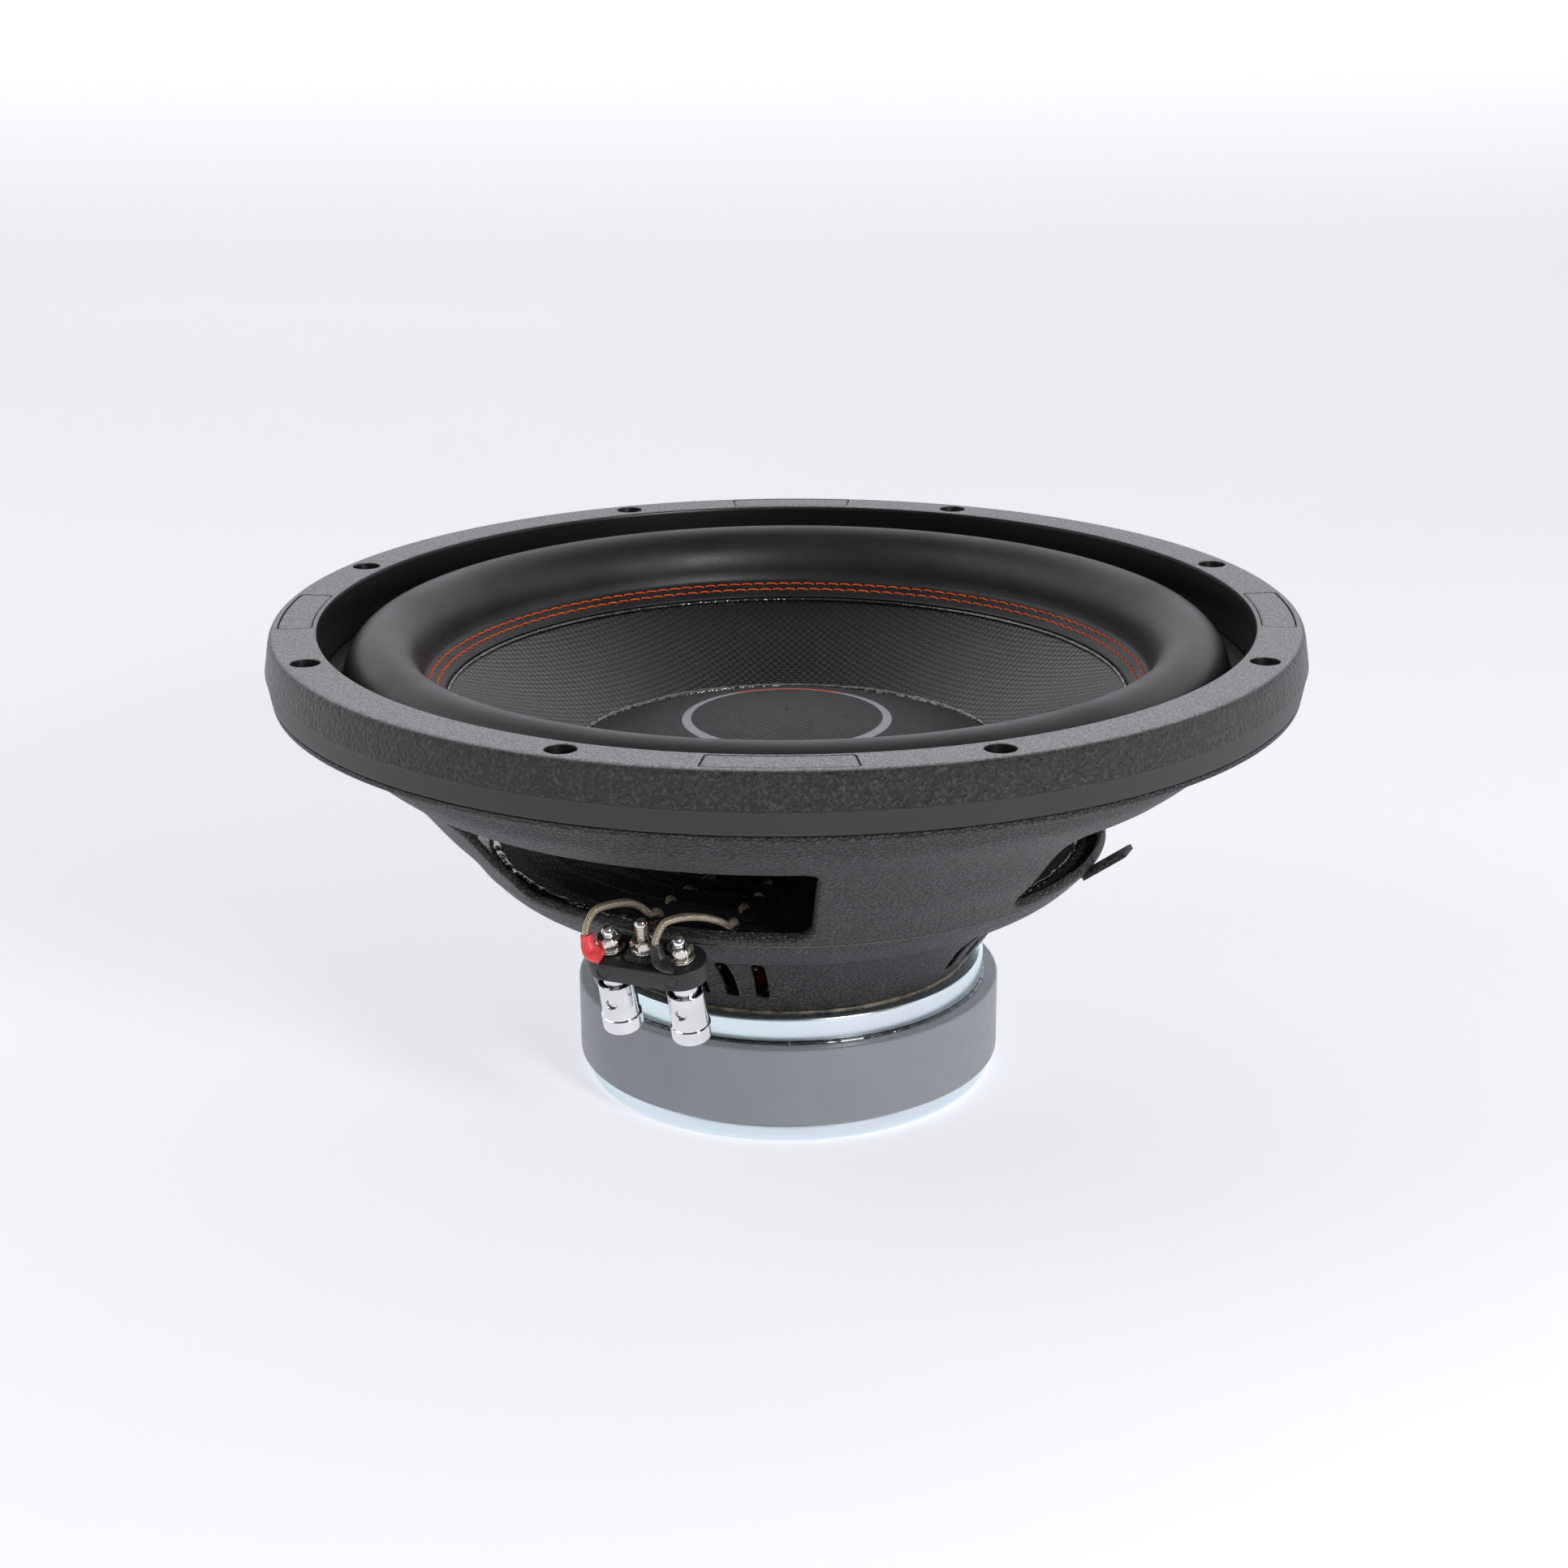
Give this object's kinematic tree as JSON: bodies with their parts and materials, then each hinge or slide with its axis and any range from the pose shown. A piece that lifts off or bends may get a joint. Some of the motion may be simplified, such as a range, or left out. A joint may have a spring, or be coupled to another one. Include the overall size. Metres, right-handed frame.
{
  "type": "car subwoofer speaker",
  "caption": "Round car subwoofer driver with woven cone, half-roll surround, pressed steel basket, ring magnet motor and push terminals.",
  "frame": {"origin": "on the speaker's axis, at the underside of the back plate", "axes": "+Z along the axis towards the listener, out of the cone; -Y is the side nearest the viewer, with the terminals 21 degrees round from it towards -X"},
  "size_m": [0.32, 0.32, 0.1505],
  "materials": {
    "powder_coat": "black textured powder coat",
    "gasket_rubber": "grained matte black",
    "surround_rubber": "satin black",
    "zinc": "bluish zinc plate",
    "ferrite": "satin dark grey",
    "cone_weave": "glossy black woven composite",
    "cap_weave": "fine black weave",
    "thread": "orange-red sewing thread",
    "kapton": "amber film",
    "copper": "lacquered copper wire",
    "spider_cloth": "resin-dipped black cloth",
    "block_plastic": "black moulded plastic",
    "chrome": "polished",
    "nickel": "bright nickel plate",
    "red_shrink": "red shrink sleeve",
    "black_shrink": "black shrink sleeve",
    "braid": "tinned copper braid",
    "spring_steel": "drawn wire"
  },
  "bodies": {
    "frame": {"yoke": "zinc", "magnet": "ferrite", "top_plate": "zinc", "basket": "powder_coat", "top_plate_screw_1": "nickel", "top_plate_screw_2": "nickel", "top_plate_screw_3": "nickel", "top_plate_screw_4": "nickel", "gasket": "gasket_rubber", "gasket_pad_front": "gasket_rubber", "gasket_pad_right": "gasket_rubber", "gasket_pad_back": "gasket_rubber", "gasket_pad_left": "gasket_rubber", "surround": "surround_rubber", "spider": "spider_cloth", "terminal_block": "block_plastic", "block_bolt": "nickel", "block_nut": "nickel", "post_positive": "chrome", "push_spring_positive": "spring_steel", "lug_positive": "nickel", "lug_nut_positive": "nickel", "lug_boot_positive": "red_shrink", "post_negative": "chrome", "push_spring_negative": "spring_steel", "lug_negative": "nickel", "lug_nut_negative": "nickel", "lug_boot_negative": "black_shrink", "lead_positive": "braid", "lead_negative": "braid"},
    "cone_assembly": {"cone": "cone_weave", "dust_cap": "cap_weave", "coil_former": "kapton", "coil_winding": "copper", "stitch_outer": "thread", "stitch_inner": "thread"},
    "push_positive": {"push_sleeve_positive": "chrome"},
    "push_negative": {"push_sleeve_negative": "chrome"}
  },
  "joints": [
    {"name": "cone_travel", "type": "slide", "parent": "frame", "child": "cone_assembly", "axis": [0, 0, 1], "range_m": [-0.012, 0.012], "stiffness_N_per_m": 5300, "deforming": ["surround", "spider", "lead_positive", "lead_negative"]},
    {"name": "push_positive_travel", "type": "slide", "parent": "frame", "child": "push_positive", "axis": [-0.0944, -0.241, 0.9659], "range_m": [0, 0.0032], "stiffness_N_per_m": 800, "deforming": ["push_spring_positive"]},
    {"name": "push_negative_travel", "type": "slide", "parent": "frame", "child": "push_negative", "axis": [-0.0944, -0.241, 0.9659], "range_m": [0, 0.0032], "stiffness_N_per_m": 800, "deforming": ["push_spring_negative"]}
  ]
}
